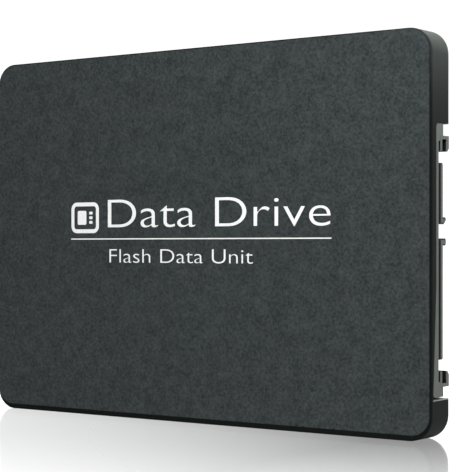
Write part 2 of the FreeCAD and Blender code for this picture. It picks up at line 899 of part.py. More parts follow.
front_shell()
rear_cover()
case_screws()
base_inserts()
side_inserts()
rear_label()
circuit_board()
board_screws()
connector_housing()
contact_row("data_contacts", DATA_FIRST, DATA_SPAN, DATA_CONTACTS)
contact_row("power_contacts", POWER_FIRST, POWER_SPAN, POWER_CONTACTS)
connector_board_locks()
for chip_number, chip_place in enumerate(FLASH_PLACES, start=1):
    flash_package(chip_number, chip_place)
for package_name, package_places in PACKAGES.items():
    board_package(package_name, package_places)
thermal_pad("controller_pad", 22.0, 0.0, 12.0, 12.0, "(board_back - 0.9)")
thermal_pad("flash_pad", -19.5, 0.0, 28.0, 40.0, "flash_low")
save_parts()
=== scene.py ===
import json
import math
import random

import bmesh
import bpy
from mathutils import Matrix, Vector

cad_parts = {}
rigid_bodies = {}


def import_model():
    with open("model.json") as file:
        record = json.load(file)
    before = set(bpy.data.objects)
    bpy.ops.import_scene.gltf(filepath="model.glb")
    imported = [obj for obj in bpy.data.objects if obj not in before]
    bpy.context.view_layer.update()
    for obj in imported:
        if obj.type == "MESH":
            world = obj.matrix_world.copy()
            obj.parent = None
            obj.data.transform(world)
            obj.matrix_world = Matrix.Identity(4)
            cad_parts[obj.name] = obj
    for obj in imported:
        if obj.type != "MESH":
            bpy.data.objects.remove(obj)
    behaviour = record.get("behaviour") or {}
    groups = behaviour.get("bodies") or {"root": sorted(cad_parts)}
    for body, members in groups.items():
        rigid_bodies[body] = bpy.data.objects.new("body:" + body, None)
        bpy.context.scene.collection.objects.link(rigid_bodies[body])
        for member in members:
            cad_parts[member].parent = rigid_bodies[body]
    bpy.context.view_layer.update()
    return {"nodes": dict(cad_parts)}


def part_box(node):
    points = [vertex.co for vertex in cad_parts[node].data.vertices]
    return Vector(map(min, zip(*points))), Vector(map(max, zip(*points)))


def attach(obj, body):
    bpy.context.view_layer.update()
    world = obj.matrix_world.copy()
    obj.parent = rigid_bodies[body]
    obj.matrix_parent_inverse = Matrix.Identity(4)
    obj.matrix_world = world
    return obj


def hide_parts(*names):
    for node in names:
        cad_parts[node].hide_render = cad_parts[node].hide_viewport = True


for leftover in list(bpy.data.objects):
    bpy.data.objects.remove(leftover)

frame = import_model()

MM = 0.001
nodes = frame["nodes"]
CASE_LOW, CASE_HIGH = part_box("front_shell")
FACE_Y = CASE_LOW.y
MIDDLE_Z = (CASE_LOW.z + CASE_HIGH.z) / 2


# ---------------------------------------------------------------- camera

SENSOR_WIDTH = 36.0
FOCAL_LENGTH = 117.76
SHIFT_UP = 0.022
CAMERA_PLACE = (0.1742, -0.2320, 0.0329)
CAMERA_FORWARD = (-0.5836, 0.812, 0.0)


def add_camera():
    """A long lens at the height of the drive's lower half, to the right of its face."""
    lens = bpy.data.cameras.new("camera")
    lens.sensor_width = SENSOR_WIDTH
    lens.lens = FOCAL_LENGTH
    lens.shift_y = SHIFT_UP
    camera = bpy.data.objects.new("camera", lens)
    camera.location = CAMERA_PLACE
    camera.rotation_euler = Vector(CAMERA_FORWARD).to_track_quat("-Z", "Y").to_euler()
    bpy.context.scene.collection.objects.link(camera)
    bpy.context.scene.camera = camera


# ---------------------------------------------------------------- mesh helpers

SAME_POINT = 0.001 * MM
SHARP_ANGLE = math.radians(30.0)


def islands(node):
    """The box of each separate solid in a CAD node, as its lowest and highest corners."""
    maker = bmesh.new()
    maker.from_mesh(nodes[node].data)
    bmesh.ops.remove_doubles(maker, verts=maker.verts, dist=SAME_POINT)
    maker.verts.ensure_lookup_table()
    unseen = set(maker.verts)
    boxes = []
    while unseen:
        reached = [unseen.pop()]
        places = []
        while reached:
            vertex = reached.pop()
            places.append(vertex.co.copy())
            for edge in vertex.link_edges:
                other = edge.other_vert(vertex)
                if other in unseen:
                    unseen.remove(other)
                    reached.append(other)
        low = Vector([min(place[axis] for place in places) for axis in range(3)])
        high = Vector([max(place[axis] for place in places) for axis in range(3)])
        boxes.append((low, high))
    maker.free()
    return sorted(boxes, key=lambda corners: tuple(round(value, 6) for value in corners[0]))


def piece_from(maker, name, material, smooth=False):
    """Turn a bmesh into a piece of the object that rides on its one body."""
    bmesh.ops.recalc_face_normals(maker, faces=maker.faces)
    mesh = bpy.data.meshes.new(name)
    maker.to_mesh(mesh)
    maker.free()
    if smooth:
        mesh.polygons.foreach_set("use_smooth", [True] * len(mesh.polygons))
        mesh.set_sharp_from_angle(angle=SHARP_ANGLE)
    mesh.materials.append(material)
    piece = bpy.data.objects.new(name, mesh)
    bpy.context.scene.collection.objects.link(piece)
    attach(piece, "root")
    return piece


def slab(maker, loop, near, far):
    """A thin closed plate: loop holds (x, z) corners, near and far are its two y levels."""
    front = [maker.verts.new((x, near, z)) for x, z in loop]
    back = [maker.verts.new((x, far, z)) for x, z in loop]
    maker.faces.new(front)
    maker.faces.new(back[::-1])
    for index in range(len(loop)):
        after = (index + 1) % len(loop)
        maker.faces.new((front[index], back[index], back[after], front[after]))


def ring_slab(maker, outer, inner, near, far):
    """A thin closed frame between two loops with the same number of corners."""
    rings = []
    for level, loop in ((near, outer), (near, inner), (far, inner), (far, outer)):
        rings.append([maker.verts.new((x, level, z)) for x, z in loop])
    for index in range(len(outer)):
        after = (index + 1) % len(outer)
        for first, second in zip(rings, rings[1:] + rings[:1]):
            maker.faces.new((first[index], first[after], second[after], second[index]))


def rounded(low_x, high_x, low_z, high_z, radius, steps=5):
    """Corners of a rectangle with round corners, anticlockwise from its lower right."""
    loop = []
    for corner in range(4):
        right = corner in (0, 1)
        upper = corner in (1, 2)
        middle_x = high_x - radius if right else low_x + radius
        middle_z = high_z - radius if upper else low_z + radius
        for step in range(steps + 1):
            angle = math.radians(90.0 * (corner - 1 + step / steps))
            loop.append((middle_x + radius * math.cos(angle), middle_z + radius * math.sin(angle)))
    return loop


def round_vertex(maker, radius, share, height):
    """A new vertex at a share of a whole turn about Z."""
    angle = 2 * math.pi * share
    return maker.verts.new((radius * math.cos(angle), radius * math.sin(angle), height))


def lathe(maker, profile, turns=48):
    """A closed solid turned about Z from (radius, height) pairs; radius 0 closes an end."""
    rings = []
    for radius, height in profile:
        if radius == 0:
            rings.append([maker.verts.new((0, 0, height))])
        else:
            rings.append([round_vertex(maker, radius, step / turns, height) for step in range(turns)])
    for first, second in zip(rings, rings[1:]):
        for step in range(turns):
            corners = []
            around = ((first, step), (first, step + 1), (second, step + 1), (second, step))
            for ring, place in around:
                vertex = ring[place % len(ring)]
                if vertex not in corners:
                    corners.append(vertex)
            maker.faces.new(corners)


def stamp(maker, mesh, places):
    """Copy a mesh into a bmesh at each of several placements."""
    for place in places:
        copy = mesh.copy()
        copy.transform(place)
        maker.from_mesh(copy)
        bpy.data.meshes.remove(copy)


def with_cuts(mesh, cutters):
    """Cut each of several closed meshes out of a mesh."""
    target = bpy.data.objects.new("cut_target", mesh)
    bpy.context.scene.collection.objects.link(target)
    tools = []
    for cutter in cutters:
        tool = bpy.data.objects.new("cut_tool", cutter)
        bpy.context.scene.collection.objects.link(tool)
        tools.append(tool)
        cut = target.modifiers.new("cut", "BOOLEAN")
        cut.operation = "DIFFERENCE"
        cut.solver = "EXACT"
        cut.object = tool
    depsgraph = bpy.context.evaluated_depsgraph_get()
    result = bpy.data.meshes.new_from_object(target.evaluated_get(depsgraph))
    for leftover in (target, *tools):
        bpy.data.objects.remove(leftover)
    return result


def soften(node, width, segments=2, angle=35.0):
    """Break the sharp edges of a CAD node with a small round, as moulding does."""
    weld = nodes[node].modifiers.new("weld", "WELD")
    weld.merge_threshold = SAME_POINT / 2
    bevel = nodes[node].modifiers.new("soft_edges", "BEVEL")
    bevel.width = width * MM
    bevel.segments = segments
    bevel.limit_method = "ANGLE"
    bevel.angle_limit = math.radians(angle)
    bevel.harden_normals = True


# ---------------------------------------------------------------- materials

class Surface:
    """A Principled material with short ways to add procedural nodes."""

    def __init__(self, name, color, roughness, **sockets):
        self.material = bpy.data.materials.new(name)
        self.material.use_nodes = True
        self.tree = self.material.node_tree
        self.shader = self.tree.nodes["Principled BSDF"]
        self.shader.inputs["Base Color"].default_value = (*color, 1.0)
        self.shader.inputs["Roughness"].default_value = roughness
        for socket, value in sockets.items():
            self.shader.inputs[socket.replace("_", " ")].default_value = value
        self.place = self.node("ShaderNodeTexCoord").outputs["Object"]

    def node(self, kind, **settings):
        """Add a node with its settings."""
        made = self.tree.nodes.new(kind)
        for setting, value in settings.items():
            setattr(made, setting, value)
        return made

    def link(self, source, target):
        self.tree.links.new(source, target)

    def noise(self, size, detail=2.0, stretch=(1.0, 1.0, 1.0), rough=0.5):
        """Noise whose features are about size metres across."""
        mapping = self.node("ShaderNodeMapping")
        mapping.inputs["Scale"].default_value = [1.0 / size / part for part in stretch]
        self.link(self.place, mapping.inputs["Vector"])
        texture = self.node("ShaderNodeTexNoise")
        texture.inputs["Scale"].default_value = 1.0
        texture.inputs["Detail"].default_value = detail
        texture.inputs["Roughness"].default_value = rough
        self.link(mapping.outputs["Vector"], texture.inputs["Vector"])
        return texture.outputs["Fac"]

    def ramp(self, value, low, high, start=0.35, end=0.65):
        """Blend two colours over a range of a value."""
        ramp = self.node("ShaderNodeValToRGB")
        ramp.color_ramp.elements[0].position = start
        ramp.color_ramp.elements[1].position = end
        ramp.color_ramp.elements[0].color = (*low, 1.0)
        ramp.color_ramp.elements[1].color = (*high, 1.0)
        self.link(value, ramp.inputs["Fac"])
        return ramp.outputs["Color"]

    def spread(self, value, low, high, start=0.3, end=0.7):
        """Map a value from start to end onto low to high."""
        spread = self.node("ShaderNodeMapRange")
        spread.inputs["From Min"].default_value = start
        spread.inputs["From Max"].default_value = end
        spread.inputs["To Min"].default_value = low
        spread.inputs["To Max"].default_value = high
        self.link(value, spread.inputs["Value"])
        return spread.outputs["Result"]

    def mix(self, factor, first, second):
        """Blend two colours by a constant share or by a mask."""
        mixed = self.node("ShaderNodeMix", data_type="RGBA")
        if isinstance(factor, float):
            mixed.inputs["Factor"].default_value = factor
        else:
            self.link(factor, mixed.inputs["Factor"])
        self.link(first, mixed.inputs["A"])
        self.link(second, mixed.inputs["B"])
        return mixed.outputs["Result"]

    def along(self, axis):
        """One coordinate of the surface, in metres."""
        split = self.node("ShaderNodeSeparateXYZ")
        self.link(self.place, split.inputs["Vector"])
        return split.outputs[axis]

    def bump(self, height, distance, strength=1.0):
        """Raise the look of the surface by a height between zero and one."""
        bump = self.node("ShaderNodeBump")
        bump.inputs["Distance"].default_value = distance
        bump.inputs["Strength"].default_value = strength
        self.link(height, bump.inputs["Height"])
        self.link(bump.outputs["Normal"], self.shader.inputs["Normal"])

    def color(self, source):
        self.link(source, self.shader.inputs["Base Color"])

    def roughness(self, source):
        self.link(source, self.shader.inputs["Roughness"])

    def flat(self, size):
        """The face's own plane as texture coordinates, with one unit for each size metres."""
        split = self.node("ShaderNodeSeparateXYZ")
        self.link(self.place, split.inputs["Vector"])
        joined = self.node("ShaderNodeCombineXYZ")
        self.link(split.outputs["X"], joined.inputs["X"])
        self.link(split.outputs["Z"], joined.inputs["Y"])
        scaled = self.node("ShaderNodeVectorMath", operation="SCALE")
        scaled.inputs["Scale"].default_value = 1.0 / size
        self.link(joined.outputs["Vector"], scaled.inputs["Vector"])
        return scaled.outputs["Vector"]

    def near(self, point, radius, fade=0.05 * MM):
        """One close to a point, zero away from it."""
        gap = self.node("ShaderNodeVectorMath", operation="DISTANCE")
        gap.inputs[1].default_value = point
        self.link(self.place, gap.inputs[0])
        return self.spread(gap.outputs["Value"], 1.0, 0.0, radius - fade, radius + fade)

    def math(self, operation, first, second=0.0):
        """Work on one or two values or numbers; the second is zero unless it is given."""
        made = self.node("ShaderNodeMath", operation=operation)
        for socket, value in zip(made.inputs, (first, second)):
            if isinstance(value, (int, float)):
                socket.default_value = value
            else:
                self.link(value, socket)
        return made.outputs["Value"]


PANEL_INSET = 0.12 * MM
# Along the bottom the panel stops higher, leaving a wider dark band: painted shade under the rounded lower
# edge.
PANEL_SHADED_FOOT = 1.0 * MM
PANEL_CORNER = 3.7 * MM
PANEL_FADE = 0.06 * MM
NOTCH_GAP = 0.40 * MM
FACE_GRAIN = 0.46 * MM
FACE_CLOUD = 3.0 * MM
CLOUD_SHARE = 0.25
EDGE_DULLNESS = 0.28


def outside_panel_and_foot_shade(surface):
    """One outside the round-cornered grained panel of the face, zero inside it; the wider band along the
    bottom is painted shade.
    """
    half_up = (CASE_HIGH.z - CASE_LOW.z - PANEL_INSET - PANEL_SHADED_FOOT) / 2
    middle_up = CASE_LOW.z + PANEL_SHADED_FOOT + half_up
    across = surface.math("ABSOLUTE", surface.along("X"))
    across = surface.math("SUBTRACT", across, CASE_HIGH.x - PANEL_INSET - PANEL_CORNER)
    across = surface.math("MAXIMUM", across)
    up = surface.math("ABSOLUTE", surface.math("SUBTRACT", surface.along("Z"), middle_up))
    up = surface.math("MAXIMUM", surface.math("SUBTRACT", up, half_up - PANEL_CORNER))
    across_squared = surface.math("MULTIPLY", across, across)
    up_squared = surface.math("MULTIPLY", up, up)
    gap = surface.math("SQRT", surface.math("ADD", across_squared, up_squared))
    return surface.spread(gap, 0.0, 1.0, PANEL_CORNER - PANEL_FADE, PANEL_CORNER + PANEL_FADE)


def notch_end(surface):
    """One on the thin up-facing edge at the lower end of the notch in the end wall, where the painted
    highlight goes.
    """
    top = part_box("connector_housing")[0].z - NOTCH_GAP
    end = CASE_HIGH.x - 1.5 * MM
    above = surface.spread(surface.along("Z"), 0.0, 1.0, top - 0.20 * MM, top - 0.12 * MM)
    below = surface.spread(surface.along("Z"), 1.0, 0.0, top + 0.02 * MM, top + 0.04 * MM)
    outward = surface.spread(surface.along("X"), 0.0, 1.0, end - 0.1 * MM, end)
    behind = surface.spread(surface.along("Y"), 0.0, 1.0, FACE_Y + 0.9 * MM, FACE_Y + 1.1 * MM)
    inside = surface.math("MULTIPLY", above, below)
    return surface.math("MULTIPLY", inside, surface.math("MULTIPLY", outward, behind))


def shell_material():
    """Charcoal plastic: grained face, finer walls, a dull dark edge line that is partly painted shade, and
    a painted highlight on the pale notch end.
    """
    surface = Surface("shell_charcoal", (0.03, 0.034, 0.034), 0.6, Specular_IOR_Level=0.05)
    grain = surface.noise(FACE_GRAIN, 4.0, rough=0.65)
    cloud = surface.noise(FACE_CLOUD, 2.0)
    fine = surface.ramp(grain, (0.0045, 0.0062, 0.0062), (0.0370, 0.0435, 0.0440), 0.25, 0.72)
    cloudy = surface.ramp(cloud, (0.0045, 0.0062, 0.0062), (0.0270, 0.0320, 0.0330), 0.3, 0.7)
    face = surface.mix(CLOUD_SHARE, fine, cloudy)
    wall = surface.ramp(grain, (0.004, 0.0050, 0.0045), (0.009, 0.0100, 0.0095), 0.3, 0.7)
    # The edge colour, darker than the wall: partly the shell's own dark rounded edge and partly painted
    # shade, wholly painted shade in the wider band along the bottom.
    edge = surface.ramp(grain, (0.002, 0.0025, 0.0024), (0.003, 0.0036, 0.0035))
    # Painted highlight: a pale grey standing in for light from above falling on the notch's up-facing end.
    painted_notch_highlight = surface.ramp(grain, (0.15, 0.16, 0.155), (0.20, 0.21, 0.205))
    depth = surface.along("Y")
    off_face = surface.spread(depth, 0.0, 1.0, FACE_Y + 0.004 * MM, FACE_Y + 0.03 * MM)
    rim = surface.math("MAXIMUM", off_face, outside_panel_and_foot_shade(surface))
    on_wall = surface.spread(depth, 0.0, 1.0, FACE_Y + 0.50 * MM, FACE_Y + 0.95 * MM)
    front = surface.mix(rim, face, edge)
    body = surface.mix(on_wall, front, wall)
    surface.color(surface.mix(notch_end(surface), body, painted_notch_highlight))
    band = surface.math("MULTIPLY", rim, surface.math("SUBTRACT", 1.0, on_wall))
    duller = surface.math("MULTIPLY", band, EDGE_DULLNESS)
    surface.roughness(surface.math("ADD", surface.spread(grain, 0.55, 0.72), duller))
    surface.bump(grain, 0.03 * MM, 0.7)
    return surface.material


def moulded(name, low, high, roughness, grain=0.25, bump=0.01, level=0.35):
    """Moulded plastic, epoxy or ceramic with a fine grain."""
    surface = Surface(name, low, roughness, Specular_IOR_Level=level)
    noise = surface.noise(grain * MM, 3.0)
    surface.color(surface.ramp(noise, low, high))
    surface.roughness(surface.spread(noise, roughness - 0.06, roughness + 0.08))
    surface.bump(noise, bump * MM, 0.5)
    return surface.material


def plug_material():
    """Grey plug plastic with painted shade: it turns near black just behind the ends that face outwards,
    where the gaps between the parts lie in shadow.
    """
    surface = Surface("plug_grey", (0.1, 0.1, 0.1), 0.5, Specular_IOR_Level=0.1)
    noise = surface.noise(0.2 * MM, 3.0)
    pale = surface.ramp(noise, (0.055, 0.062, 0.057), (0.073, 0.081, 0.076))
    # Painted shade: near black stands in for the shadow in the gaps behind the plug's outer ends; the pale
    # grey is the plastic's own colour.
    dark = surface.ramp(noise, (0.003, 0.003, 0.003), (0.005, 0.005, 0.005))
    start = CASE_HIGH.x - 0.14 * MM
    end = CASE_HIGH.x - 0.105 * MM
    tips = surface.spread(surface.along("X"), 0.0, 1.0, start, end)
    surface.color(surface.mix(tips, dark, pale))
    surface.roughness(surface.spread(noise, 0.45, 0.6))
    surface.bump(noise, 0.006 * MM, 0.5)
    return surface.material


def metal(name, low, high, roughness, stretch=(1.0, 1.0, 1.0)):
    """Metal with fine scratches along the stretched direction and uneven gloss."""
    surface = Surface(name, low, roughness, Metallic=1.0)
    noise = surface.noise(0.12 * MM, 3.0, stretch)
    surface.color(surface.ramp(noise, low, high))
    surface.roughness(surface.spread(noise, roughness - 0.08, roughness + 0.1))
    surface.bump(noise, 0.004 * MM, 0.4)
    return surface.material


def board_material():
    """Green solder mask over copper runs, with rows of small tinned vias."""
    surface = Surface("board_green", (0.01, 0.08, 0.03), 0.3)
    runs = surface.node("ShaderNodeTexBrick")
    runs.inputs["Scale"].default_value = 1.0
    runs.inputs["Mortar Size"].default_value = 0.045
    runs.inputs["Brick Width"].default_value = 3.7
    runs.inputs["Row Height"].default_value = 0.55
    surface.link(surface.flat(1.0 * MM), runs.inputs["Vector"])
    dots = surface.node("ShaderNodeTexVoronoi")
    dots.inputs["Scale"].default_value = 1.0
    dots.inputs["Randomness"].default_value = 0.75
    surface.link(surface.flat(2.3 * MM), dots.inputs["Vector"])
    noise = surface.noise(1.5 * MM, 2.0)
    mask = surface.ramp(noise, (0.006, 0.055, 0.022), (0.009, 0.075, 0.030))
    copper = surface.ramp(noise, (0.018, 0.125, 0.045), (0.022, 0.145, 0.055))
    tin = surface.ramp(noise, (0.42, 0.42, 0.40), (0.55, 0.54, 0.50))
    via = surface.spread(dots.outputs["Distance"], 1.0, 0.0, 0.07, 0.09)
    surface.color(surface.mix(via, surface.mix(runs.outputs["Fac"], mask, copper), tin))
    surface.roughness(surface.spread(noise, 0.24, 0.36))
    surface.bump(runs.outputs["Fac"], 0.02 * MM, 0.6)
    return surface.material


def package_material(node):
    """Black epoxy with a fine grain and the round first-pin dimple near one corner."""
    low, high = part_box(node)
    surface = Surface(node + "_epoxy", (0.012, 0.012, 0.013), 0.5, Specular_IOR_Level=0.35)
    noise = surface.noise(0.08 * MM, 3.0)
    inset = 0.14 * min(high.x - low.x, high.z - low.z)
    dimple = surface.near((low.x + inset, high.y, high.z - inset), 0.45 * inset)
    body = surface.ramp(noise, (0.010, 0.010, 0.011), (0.020, 0.020, 0.022))
    glossy = surface.ramp(noise, (0.030, 0.030, 0.032), (0.040, 0.040, 0.042))
    surface.color(surface.mix(dimple, body, glossy))
    surface.roughness(surface.spread(dimple, 0.55, 0.25, 0.0, 1.0))
    surface.bump(surface.math("SUBTRACT", noise, dimple), 0.02 * MM, 0.6)
    return surface.material


def tantalum_material():
    """Ochre moulded bodies with a dark polarity bar at one end of each."""
    surface = Surface("tantalum_ochre", (0.6, 0.3, 0.05), 0.45)
    noise = surface.noise(0.15 * MM, 2.0)
    ochre = surface.ramp(noise, (0.52, 0.27, 0.045), (0.60, 0.32, 0.06))
    brown = surface.ramp(noise, (0.09, 0.035, 0.012), (0.12, 0.045, 0.016))
    fade = 0.05 * MM
    bar = None
    for low, high in islands("tantalum_capacitors"):
        start = high.x - 1.5 * MM
        end = high.x - 0.5 * MM
        first = surface.spread(surface.along("X"), 0.0, 1.0, start, start + fade)
        last = surface.spread(surface.along("X"), 1.0, 0.0, end, end + fade)
        own = surface.math("MULTIPLY", first, last)
        bar = own if bar is None else surface.math("MAXIMUM", bar, own)
    surface.color(surface.mix(bar, ochre, brown))
    surface.roughness(surface.spread(noise, 0.38, 0.5))
    surface.bump(noise, 0.01 * MM, 0.4)
    return surface.material


def chip_part_material(name, node, body_low, body_high):
    """Small two-ended parts: a ceramic body between tinned ends, from each part's own box."""
    surface = Surface(name, body_low, 0.4)
    noise = surface.noise(0.1 * MM, 2.0)
    body = surface.ramp(noise, body_low, body_high)
    tin = surface.ramp(noise, (0.50, 0.50, 0.48), (0.64, 0.63, 0.60))
    ends = None
    for low, high in islands(node):
        size = high - low
        axis = "X" if size.x > size.z else "Z"
        half = max(size.x, size.z) / 2
        middle = (low + high) / 2
        gap = surface.node("ShaderNodeVectorMath", operation="SUBTRACT")
        gap.inputs[1].default_value = middle
        surface.link(surface.place, gap.inputs[0])
        split = surface.node("ShaderNodeSeparateXYZ")
        surface.link(gap.outputs["Vector"], split.inputs["Vector"])
        along = surface.math("ABSOLUTE", split.outputs[axis])
        tinned = surface.spread(along, 0.0, 1.0, half * 0.55, half * 0.6)
        own = surface.math("MULTIPLY", tinned, surface.near(middle, half * 1.35))
        ends = own if ends is None else surface.math("MAXIMUM", ends, own)
    surface.color(surface.mix(ends, body, tin))
    surface.roughness(surface.spread(noise, 0.32, 0.46))
    surface.bump(noise, 0.008 * MM, 0.4)
    return surface.material


def paper_material():
    """Matt white label stock with a faint fibre and a slightly worn tone."""
    surface = Surface("label_paper", (0.8, 0.8, 0.79), 0.55, Specular_IOR_Level=0.3)
    fibre = surface.noise(0.12 * MM, 3.0, (3.0, 1.0, 1.0))
    cloud = surface.noise(9.0 * MM, 2.0)
    fine = surface.ramp(fibre, (0.74, 0.74, 0.73), (0.82, 0.82, 0.81))
    wide = surface.ramp(cloud, (0.75, 0.75, 0.735), (0.82, 0.82, 0.81))
    surface.color(surface.mix(0.5, fine, wide))
    surface.roughness(surface.spread(fibre, 0.5, 0.62))
    surface.bump(fibre, 0.006 * MM, 0.4)
    return surface.material


def paint(node, material):
    """Give a CAD node its material in every slot."""
    slots = nodes[node].data.materials
    for index in range(len(slots)):
        slots[index] = material


def paint_everything():
    """Materials of all CAD nodes, seen and unseen."""
    paint("front_shell", shell_material())
    cover = moulded("cover_charcoal", (0.010, 0.0115, 0.011), (0.019, 0.021, 0.020), 0.58, 0.3, 0.02, 0.15)
    paint("rear_cover", cover)
    paint("connector_housing", plug_material())
    gold = metal("contact_gold", (0.72, 0.48, 0.17), (0.85, 0.60, 0.24), 0.28, (1.0, 1.0, 4.0))
    paint("data_contacts", gold)
    paint("power_contacts", gold)
    tin = metal("tin_plate", (0.50, 0.50, 0.48), (0.62, 0.61, 0.58), 0.35)
    paint("connector_board_locks", tin)
    paint("circuit_board", board_material())
    steel = metal("board_screw_steel", (0.40, 0.40, 0.39), (0.52, 0.52, 0.50), 0.3)
    paint("board_screws", steel)
    paint("rear_label", paper_material())
    for number in range(1, 5):
        paint("flash_chip_%d" % number, package_material("flash_chip_%d" % number))
        paint("flash_leads_%d" % number, tin)
    for node in ("controller_chip", "memory_chip", "boot_chip"):
        paint(node, package_material(node))
    epoxy = moulded("regulator_epoxy", (0.011, 0.011, 0.012), (0.021, 0.021, 0.022), 0.5, 0.08)
    paint("power_regulators", epoxy)
    can = metal("crystal_can", (0.58, 0.56, 0.52), (0.70, 0.68, 0.64), 0.3, (5.0, 1.0, 1.0))
    paint("clock_crystal", can)
    ferrite = moulded("ferrite_grey", (0.030, 0.031, 0.033), (0.055, 0.056, 0.058), 0.6, 0.2, 0.03)
    paint("power_inductors", ferrite)
    paint("tantalum_capacitors", tantalum_material())
    tan = chip_part_material("ceramic_tan", "ceramic_capacitors", (0.30, 0.20, 0.12), (0.38, 0.26, 0.16))
    paint("ceramic_capacitors", tan)
    black = chip_part_material("resistor_black", "resistors", (0.012, 0.012, 0.014), (0.02, 0.02, 0.022))
    paint("resistors", black)
    pad = moulded("pad_silicone", (0.16, 0.24, 0.30), (0.20, 0.29, 0.36), 0.75, 0.5, 0.03)
    paint("controller_pad", pad)
    paint("flash_pad", pad)


# ---------------------------------------------------------------- print on the face

PRINT_PROUD = 0.012 * MM
PRINT_SUNK = 0.008 * MM
FRAME_SHARE = 0.105
LETTER_HALF_DEEP = 0.5
LETTER_SAME_POINT = 1e-5
PICTOGRAM = (-30.0 * MM, -22.9 * MM, 35.5 * MM, 41.5 * MM)
WORDMARK = (-20.6 * MM, 30.3 * MM, 36.5 * MM, 41.9 * MM)
RULE = (-30.1 * MM, 30.5 * MM, 34.24 * MM, 34.45 * MM)
SMALL_LINE = (-20.2 * MM, 13.8 * MM, 29.75 * MM, 32.35 * MM)


def pictogram(maker, low_x, high_x, low_z, high_z, near, far):
    """A plain drive: a round-cornered frame around a chip and three contact bars."""
    wide = FRAME_SHARE * (high_x - low_x)
    inset = 2.2 * wide
    outer = rounded(low_x, high_x, low_z, high_z, 1.8 * wide)
    inner = rounded(low_x + wide, high_x - wide, low_z + wide, high_z - wide, 0.8 * wide)
    ring_slab(maker, outer, inner, near, far)
    foot = low_z + inset
    head = high_z - inset
    chip_high = low_x + 5.2 * wide
    slab(maker, rounded(low_x + inset, chip_high, foot, head, 0.4 * wide), near, far)
    pitch = (head - foot) / 3
    for index in range(3):
        bar_low = foot + (index + 0.2) * pitch
        bar_high = bar_low + 0.6 * pitch
        bar = rounded(chip_high + wide, high_x - inset, bar_low, bar_high, 0.25 * wide)
        slab(maker, bar, near, far)


def lettering(name, words, low_x, high_x, base, top, material, thinner):
    """Generic words in the plain built-in face, fitted to a width and a capital height."""
    curve = bpy.data.curves.new(name, "FONT")
    curve.body = words
    curve.offset = -thinner
    curve.extrude = LETTER_HALF_DEEP
    source = bpy.data.objects.new(name, curve)
    bpy.context.scene.collection.objects.link(source)
    depsgraph = bpy.context.evaluated_depsgraph_get()
    drawn = bpy.data.meshes.new_from_object(source.evaluated_get(depsgraph))
    bpy.data.objects.remove(source)
    maker = bmesh.new()
    maker.from_mesh(drawn)
    bpy.data.meshes.remove(drawn)
    bmesh.ops.remove_doubles(maker, verts=maker.verts, dist=LETTER_SAME_POINT)
    left = min(vertex.co.x for vertex in maker.verts)
    right = max(vertex.co.x for vertex in maker.verts)
    tall = max(vertex.co.y for vertex in maker.verts)
    for vertex in maker.verts:
        across = (vertex.co.x - left) / (right - left)
        up = vertex.co.y / tall
        out = (vertex.co.z + LETTER_HALF_DEEP) / (2 * LETTER_HALF_DEEP)
        depth = FACE_Y + PRINT_SUNK - out * (PRINT_SUNK + PRINT_PROUD)
        vertex.co = (low_x + across * (high_x - low_x), depth, base + up * (top - base))
    return piece_from(maker, name, material)


def face_ink_material():
    """Pale ink with a fine speckle."""
    surface = Surface("print_ink", (0.8, 0.8, 0.8), 0.5, Specular_IOR_Level=0.3)
    speckle = surface.noise(0.15 * MM, 2.0)
    surface.color(surface.ramp(speckle, (0.45, 0.455, 0.455), (0.55, 0.56, 0.56)))
    surface.roughness(surface.spread(speckle, 0.45, 0.6))
    surface.bump(speckle, 0.004 * MM, 0.4)
    return surface.material


def add_face_print():
    """A pictogram of a drive, generic words, a thin line and a small line, all in pale ink."""
    ink = face_ink_material()
    near = FACE_Y - PRINT_PROUD
    far = FACE_Y + PRINT_SUNK

    maker = bmesh.new()
    pictogram(maker, *PICTOGRAM, near, far)
    piece_from(maker, "print_pictogram", ink)

    maker = bmesh.new()
    slab(maker, rounded(*RULE, 0.08 * MM), near, far)
    piece_from(maker, "print_rule", ink)
    lettering("print_name", "Data Drive", *WORDMARK, ink, 0.012)
    lettering("print_small", "Flash Data Unit", *SMALL_LINE, ink, 0.014)


# ---------------------------------------------------------------- print on the rear label

LABEL_SEED = 7
LABEL_MARGIN = 3.0 * MM
HEAD_ROWS = 3
TEXT_ROWS = 7
TEXT_COLUMNS = ((0.0, 22.0), (28.0, 24.0))
BARS_WIDE = 36.0 * MM
BARS_TALL = 6.5 * MM
CELLS = 16
CELL = 0.55 * MM
DOT = 0.98 * CELL


